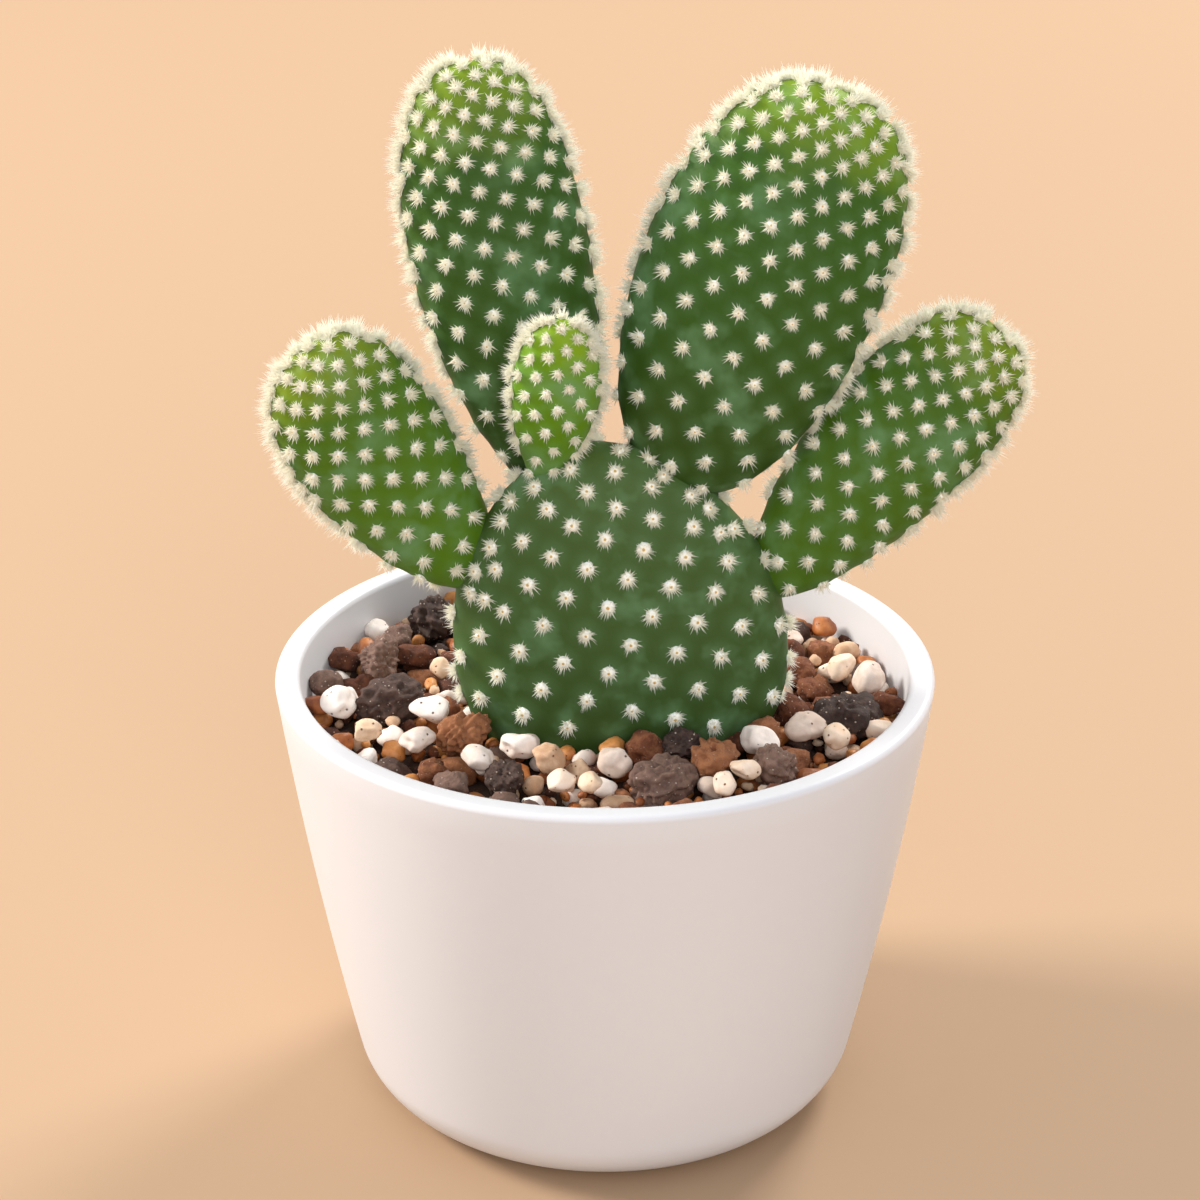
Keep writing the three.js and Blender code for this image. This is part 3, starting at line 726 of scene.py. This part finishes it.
def pad_skin(pad, settings):
    """Points, triangles, growth and nearness to a tuft of the pad's skin."""
    phi, psi = pad.mesh_grid()
    grid = np.meshgrid(phi, psi, indexing="ij")
    flat_phi, flat_psi = grid[0].ravel(), grid[1].ravel()
    points = pad.skin(flat_phi, flat_psi)
    normals = pad.normal(flat_phi, flat_psi)
    ends = pad.skin(np.array([0.0, math.pi]), np.zeros(2))
    points = np.vstack([ends[0], points, ends[1]])
    normals = np.vstack([-pad.along, normals, pad.along])
    growth = np.concatenate([[0], (1 - np.cos(flat_phi)) / 2, [1]])
    tufts = Tufts(pad, settings)
    tree = kdtree.KDTree(len(tufts.middles))
    for i, middle in enumerate(tufts.middles):
        tree.insert(middle, i)
    tree.balance()
    pitch = pad.pitch_at(growth)
    near = np.array([tree.find(point)[2] for point in points])
    # mound lifts the skin under each tuft, and the skin's material also paints it paler, as painted light.
    mound = np.exp(-(near / (0.36 * pitch)) ** 2)
    lift = skin_lift(pad, points, settings) + settings.relief * mound
    return points + normals * lift[:, None], tube_faces(len(phi), len(psi)), growth, mound


class CACTUS_OT_pads(bpy.types.Operator):
    """Builds the six pads, each with a low mound under every tuft"""
    bl_idname = "cactus.pads"
    bl_label = "Pads"

    def execute(self, context):
        settings = context.scene.cactus_pads
        for name, look in PAD_LOOKS.items():
            material = waxy_skin(f"{name}_wax", look["colours"], settings.bloom)
            points, faces, growth, mound = pad_skin(Pad(name), settings)
            new_piece(f"{name}_skin", points, faces, material, look["slot"], name, growth=growth, mound=mound)
        return {"FINISHED"}


# Tufts

def needles(starts, directions, lengths, widths, spins):
    """Points and triangles of closed three-sided needles."""
    helper = np.where(np.abs(directions[:, 2:]) < 0.9, (0, 0, 1), (1, 0, 0))
    e1 = unit(np.cross(directions, helper))
    e2 = np.cross(directions, e1)
    corners = []
    for k in range(3):
        angle = (spins + 2 * math.pi * k / 3)[:, None]
        corners.append(starts + widths[:, None] * (np.cos(angle) * e1 + np.sin(angle) * e2))
    corners.append(starts + directions * lengths[:, None])
    points = np.stack(corners, axis=1).reshape(-1, 3)
    sides = np.array([(0, 2, 1), (0, 1, 3), (1, 2, 3), (2, 0, 3)])
    faces = (sides[None] + 4 * np.arange(len(starts))[:, None, None]).reshape(-1, 3)
    return points, faces


def bristles(tufts, kind, rng):
    """Roots, directions, lengths and thicknesses of all bristles: a dense core and a wide, finer fan."""
    parts = []
    for (across, out), count, droop, thickness in (
        (kind["core"], kind["counts"][0], 0.3 * kind["droop"], 1.1),
        (kind["fan"], kind["counts"][1], kind["droop"], 1.0),
    ):
        each = np.round(count * (1 + EDGE_FULLER * tufts.edgewise)).astype(int)
        total = each.sum()
        middle, normal, up, side = (
            np.repeat(group, each, axis=0)
            for group in (tufts.middles, tufts.normals, tufts.ups, tufts.sides))
        longer = 1 + EDGE_LONGER * np.repeat(tufts.edgewise, each)[:, None]
        turn_angle = rng.uniform(0, 2 * math.pi, total)[:, None]
        height = rng.uniform(0.03, 0.94, total)[:, None]
        slant = np.sqrt(1 - height ** 2)
        reach = rng.uniform(0.65, 1.1, total)[:, None]
        around = np.cos(turn_angle) * up + np.sin(turn_angle) * side
        root = middle + around * slant * (0.7 * kind["cushion"] * MM)
        tip = around * slant * across + normal * height * out * longer - up * slant * droop
        tip = middle + (tip * reach + rng.normal(0, 0.1, (total, 3))) * MM
        length = np.linalg.norm(tip - root, axis=1)
        spread = rng.uniform(0.75, 1.2, total)
        parts.append((root, (tip - root) / length[:, None], length, thickness * spread))
    return [np.concatenate(group) for group in zip(*parts)]


def cushions(tufts, kind, rng):
    """Points, triangles and height share of the low felt domes that the bristles stand in."""
    rings, sides = ((0.0, 1.0), (0.55, 0.8), (0.9, 0.42)), 8
    radius = kind["cushion"] * MM
    dome = kind["dome"] * MM
    points, faces, reach = [], [], []
    for i, middle in enumerate(tufts.middles):
        normal, up, side = tufts.normals[i], tufts.ups[i], tufts.sides[i]
        size = radius * rng.uniform(0.85, 1.1) * (1 - EDGE_CUSHION_LESS * tufts.edgewise[i])
        start = len(points)
        points.append(middle - normal * dome * 0.6)
        reach.append(0)
        for height, width in rings:
            for j in range(sides):
                angle = 2 * math.pi * (j + rng.uniform(-0.2, 0.2)) / sides
                out = size * width * rng.uniform(0.85, 1.1)
                place = middle + out * (math.cos(angle) * side - math.sin(angle) * up)
                points.append(place + normal * dome * (height - 0.25))
                reach.append(height * 0.6)
        points.append(middle + normal * dome * 0.8)
        reach.append(kind["heart"])
        faces.extend((start + np.array(tube_faces(len(rings), sides))).tolist())
    return np.array(points), faces, reach


class CACTUS_OT_tufts(bpy.types.Operator):
    """Sets a felt cushion and its bristles on every tuft of every pad"""
    bl_idname = "cactus.tufts"
    bl_label = "Tufts"

    def execute(self, context):
        settings = context.scene.cactus_tufts
        gravel_top = context.scene.cactus_gravel.top
        bristle = bristle_material(settings)
        felt = felt_material(settings)
        base = Pad("base_pad")
        for name, look in PAD_LOOKS.items():
            pad = Pad(name)
            rng = np.random.default_rng(settings.seed + pad.seed)
            kind = TUFTS[look["tuft"]]
            tufts = Tufts(pad, context.scene.cactus_pads)
            clear = tufts.middles[:, 2] > gravel_top - 1.6 * MM
            others = [base] if name != "base_pad" else [Pad(other) for other in PADS if other != "base_pad"]
            for other in others:
                clear &= other.distance(tufts.middles) > 0.4 * MM
            tufts.keep(clear)
            points, faces, reach = cushions(tufts, kind, rng)
            new_piece(f"{name}_cushions", points, faces, felt, "bristles", name, reach=reach)
            starts, directions, lengths, widths = bristles(tufts, kind, rng)
            spins = rng.uniform(0, 2, len(starts))
            points, faces = needles(starts, directions, lengths, widths * settings.thickness / 2, spins)
            reach = np.tile([0, 0, 0, 1], len(starts))
            new_piece(f"{name}_bristles", points, faces, bristle, "bristles", name, smooth=False, reach=reach)
        return {"FINISHED"}


# Soil and gravel

def ball(detail):
    """Directions and triangles of an icosahedron split detail times."""
    bpy.ops.mesh.primitive_ico_sphere_add(subdivisions=detail, radius=1)
    made = bpy.context.active_object
    directions = unit(np.array([v.co[:] for v in made.data.vertices]))
    faces = np.array([p.vertices[:] for p in made.data.polygons])
    bpy.data.objects.remove(made)
    return directions, faces


def shape_stone(directions, kind, radius, rng):
    """Points of one stone about the origin: a ball with knapped flats, lumps and pits, stretched and turned.
    Lava is crumbly too."""
    reach = np.ones(len(directions))
    for _ in range(kind["flats"]):
        flat = unit(rng.normal(0, 1, 3))
        level = rng.uniform(0.66, 0.92)
        toward = np.maximum(directions @ flat, 0.05)
        soft = 26
        reach = -np.log(np.exp(-soft * reach) + np.exp(-soft * level / toward)) / soft
    for octave in (1, 2, 4):
        for _ in range(3):
            wave = unit(rng.normal(0, 1, 3)) * 2.6 * octave
            reach = reach + kind["lumps"] / octave / 2 * np.sin(directions @ wave + rng.uniform(0, 6.3))
    if "pits" in kind:
        for _ in range(10):
            wave = unit(rng.normal(0, 1, 3)) * rng.uniform(14, 24)
            reach = reach + kind["crumb"] / 2 * np.sin(directions @ wave + rng.uniform(0, 6.3))
        for _ in range(26):
            pit = unit(rng.normal(0, 1, 3))
            width = rng.uniform(0.12, 0.34)
            away = np.arccos(np.clip(directions @ pit, -1, 1)) / width
            reach = reach - kind["pits"] * np.clip(1 - away ** 2, 0, 1)
    longer = 1 + kind["stretch"] * rng.uniform(0.2, 1)
    points = directions * reach[:, None] * (longer, 1, rng.uniform(0.8, 1)) / math.sqrt(longer)
    tilt = Quaternion((1, 0, 0), rng.uniform(-0.5, 0.5)).to_matrix()
    spin = Quaternion((0, 0, 1), rng.uniform(0, 2 * math.pi)).to_matrix()
    return radius * points @ np.array(spin @ tilt).T


class Heap:
    """Stones that lie in the pot, each dropped at the lowest of several places that it may take."""

    def __init__(self, gravel, pot, rng):
        self.gravel, self.pot, self.rng = gravel, pot, rng
        self.base = Pad("base_pad")
        self.middles = np.empty((0, 3))
        self.radii = np.empty(0)
        self.kinds = []

    def add(self, kind, middle, radius):
        self.middles = np.vstack([self.middles, middle])
        self.radii = np.append(self.radii, radius)
        self.kinds.append(kind)

    def rest_heights(self, x, y, radius):
        """Height of the middle of a stone that comes down at each place."""
        height = np.full(len(x), self.gravel.bed + radius * 0.5)
        if len(self.radii):
            apart = np.hypot(x[:, None] - self.middles[:, 0], y[:, None] - self.middles[:, 1])
            reach = (radius + self.radii) * self.gravel.closeness
            touching = apart < reach
            rise = np.sqrt(np.where(touching, reach ** 2 - apart ** 2, 0))
            on_top = np.where(touching, self.middles[:, 2] + rise, 0)
            height = np.maximum(height, on_top.max(axis=1))
        return height

    def drop(self, kind, radius, tries=70):
        widest = wall_radius(self.pot, self.gravel.top) - self.pot.wall - radius - 0.3 * MM
        away = widest * np.sqrt(self.rng.uniform(0, 1, tries))
        angle = self.rng.uniform(0, 2 * math.pi, tries)
        x, y = away * np.cos(angle), away * np.sin(angle)
        height = self.rest_heights(x, y, radius)
        places = np.stack([x, y, height], axis=1)
        blocked = self.base.distance(places) < radius * 0.85
        blocked |= height + radius * 0.9 > self.gravel.top
        height = np.where(blocked, 1, height)
        best = int(np.argmin(height))
        if not blocked[best]:
            self.add(kind, places[best], radius)


def soil_bed(pot, gravel):
    """Points and triangles of the soil: it fills the pot, with a hollow for the foot of the base pad."""
    gap = 0.6 * MM
    low = pot.floor + 0.3 * MM
    inner = wall_radius(pot, low + pot.inner_round) - pot.wall - gap
    side = [(wall_radius(pot, h) - pot.wall - gap, h) for h in np.linspace(16 * MM, gravel.bed, 7)]
    top = [(radius, gravel.bed) for radius in np.linspace(side[-1][0] - 0.4 * MM, 0.6 * MM, 56)]
    profile = np.vstack([
        (0, low),
        arc(inner - pot.inner_round, low + pot.inner_round, pot.inner_round, -90, 0, 5),
        side,
        top,
        (0, gravel.bed),
    ])
    points, faces = turn(profile, 120)
    base = Pad("base_pad")
    upper = points[:, 2] > gravel.bed - 0.01 * MM
    points[upper, 2] += 0.5 * MM * waves(points[upper], 2.5 * MM, gravel.seed)
    clearance, step, steps = 0.4 * MM, 0.25 * MM, 70
    for _ in range(steps):
        inside = upper & (base.distance(points) < clearance)
        points[inside, 2] -= step
    return points, faces


class CACTUS_OT_gravel(bpy.types.Operator):
    """Fills the pot with soil and heaps the mixed gravel on it"""
    bl_idname = "cactus.gravel"
    bl_label = "Gravel"

    def execute(self, context):
        gravel = context.scene.cactus_gravel
        pot = context.scene.cactus_pot
        rng = np.random.default_rng(gravel.seed)
        heap = Heap(gravel, pot, rng)
        for kind, places in LARGE_STONES.items():
            for x, y, radius in places:
                heap.add(kind, (x * MM, y * MM, gravel.top - radius * 0.75 * MM), radius * MM)
        large = len(heap.radii)
        names = list(GRAINS)
        shares = [GRAINS[name]["share"] for name in names]
        for _ in range(gravel.stones):
            kind = names[rng.choice(len(names), p=shares)]
            heap.drop(kind, rng.uniform(*GRAINS[kind]["radius"]) * MM)
        stones = len(heap.radii)
        for _ in range(gravel.grit):
            kind = GRIT_KINDS[rng.integers(len(GRIT_KINDS))]
            heap.drop(kind, rng.uniform(*GRIT_RADIUS) * MM)
        balls = {detail: ball(detail) for detail in (2, 3, 4, 5)}
        parts = {name: ([], [], []) for name in names}
        for i, (kind, middle, radius) in enumerate(zip(heap.kinds, heap.middles, heap.radii)):
            detail = 3 if i < stones else 2
            if i < large:
                detail = 5 if "pits" in GRAINS[kind] else 4
            directions, faces = balls[detail]
            points, all_faces, tints = parts[kind]
            shift = sum(len(done) for done in points)
            points.append(shape_stone(directions, GRAINS[kind], radius, rng) + middle)
            all_faces.append(faces + shift)
            tints.append(np.full(len(directions), rng.uniform(0.1, 0.9)))
        for kind, (points, faces, tints) in parts.items():
            material = mineral_material(kind, **MINERALS[kind])
            new_piece(
                f"{kind}_grains", np.vstack(points), np.vstack(faces), material, "gravel_mix", "soil",
                tint=np.concatenate(tints))
        points, faces = soil_bed(pot, gravel)
        soil = mineral_material("damp_soil", **MINERALS["damp_soil"])
        new_piece("soil_bed", points, faces, soil, "gravel_mix", "soil", tint=np.full(len(points), 0.5))
        return {"FINISHED"}


# Stage

def add_camera(scene):
    data = bpy.data.cameras.new("camera")
    data.lens = CAMERA["lens"]
    data.sensor_width = 36
    data.clip_start = 0.01
    camera = bpy.data.objects.new("camera", data)
    camera.location = CAMERA["place"]
    camera.rotation_euler = (math.radians(CAMERA["tilt"]), 0, 0)
    scene.collection.objects.link(camera)
    scene.camera = camera


def add_backdrop(scene, colour):
    """The floor runs level to well behind the pot, then curves up into the backdrop."""
    front, reach, bend, height, wide, steps = -3.0, 2.4, 0.8, 3.0, 4.0, 24
    profile = [(front, 0.0)]
    for i in range(steps + 1):
        angle = math.pi / 2 * i / steps
        profile.append((reach + bend * math.sin(angle), bend * (1 - math.cos(angle))))
    profile.append((reach + bend, height))
    mesh = bpy.data.meshes.new("sweep")
    points = [(x, y, z) for y, z in profile for x in (-wide, wide)]
    faces = [(2 * i, 2 * i + 1, 2 * i + 3, 2 * i + 2) for i in range(len(profile) - 1)]
    mesh.from_pydata(points, [], faces)
    mesh.shade_smooth()
    # Painted board: an even, matte, pale warm ground.
    material, tree = new_material("painted_board")
    surface = add_node(tree, "BsdfPrincipled", {"Base Color": (*colour, 1), "Roughness": 0.8})
    finish_material(tree, surface)
    mesh.materials.append(material)
    sweep = bpy.data.objects.new("sweep", mesh)
    scene.collection.objects.link(sweep)


def add_lamp(scene, name, power, place, size, colour):
    data = bpy.data.lights.new(name, "AREA")
    data.shape = "DISK"
    data.size = size
    data.energy = power
    data.color = linear(colour)
    lamp = bpy.data.objects.new(name, data)
    lamp.location = place
    lamp.rotation_euler = (Vector(LAMP_TARGET) - Vector(place)).to_track_quat("-Z", "Y").to_euler()
    scene.collection.objects.link(lamp)


class CACTUS_OT_stage(bpy.types.Operator):
    """Sets up the camera, the pale floor with its backdrop, and the soft lights"""
    bl_idname = "cactus.stage"
    bl_label = "Stage"

    def execute(self, context):
        scene = context.scene
        stage = scene.cactus_stage
        add_camera(scene)
        add_backdrop(scene, stage.floor)
        for name, lamp in LAMPS.items():
            add_lamp(scene, name, getattr(stage, name), **lamp)
        world = bpy.data.worlds.new("soft_room")
        world.use_nodes = True
        sky = world.node_tree.nodes["Background"]
        sky.inputs["Color"].default_value = (*linear(SKY_COLOUR), 1)
        sky.inputs["Strength"].default_value = stage.sky
        scene.world = world
        scene.view_settings.view_transform = "Standard"
        return {"FINISHED"}


class CACTUS_PT_sidebar(bpy.types.Panel):
    """Lists the steps that build the cactus"""
    bl_label = "Cactus"
    bl_space_type = "VIEW_3D"
    bl_region_type = "UI"
    bl_category = "Cactus"

    def draw(self, context):
        for operator, group in STEPS:
            self.layout.operator(operator.bl_idname)
            settings = getattr(context.scene, group)
            for key in settings.bl_rna.properties.keys():
                if key not in ("rna_type", "name"):
                    self.layout.prop(settings, key)


SETTINGS = {
    "cactus_pot": PotSettings,
    "cactus_gravel": GravelSettings,
    "cactus_pads": PadSettings,
    "cactus_tufts": TuftSettings,
    "cactus_stage": StageSettings,
}
STEPS = (
    (CACTUS_OT_stage, "cactus_stage"),
    (CACTUS_OT_pot, "cactus_pot"),
    (CACTUS_OT_gravel, "cactus_gravel"),
    (CACTUS_OT_pads, "cactus_pads"),
    (CACTUS_OT_tufts, "cactus_tufts"),
)
CLASSES = (*SETTINGS.values(), *(operator for operator, _ in STEPS), CACTUS_PT_sidebar)


def register():
    for item in CLASSES:
        bpy.utils.register_class(item)
    for name, group in SETTINGS.items():
        setattr(bpy.types.Scene, name, PointerProperty(type=group))


def unregister():
    for name in SETTINGS:
        delattr(bpy.types.Scene, name)
    for item in reversed(CLASSES):
        bpy.utils.unregister_class(item)


def main():
    register()
    bpy.ops.cactus.stage()
    bpy.ops.cactus.pot()
    bpy.ops.cactus.gravel()
    bpy.ops.cactus.pads()
    bpy.ops.cactus.tufts()


if __name__ == "__main__":
    main()
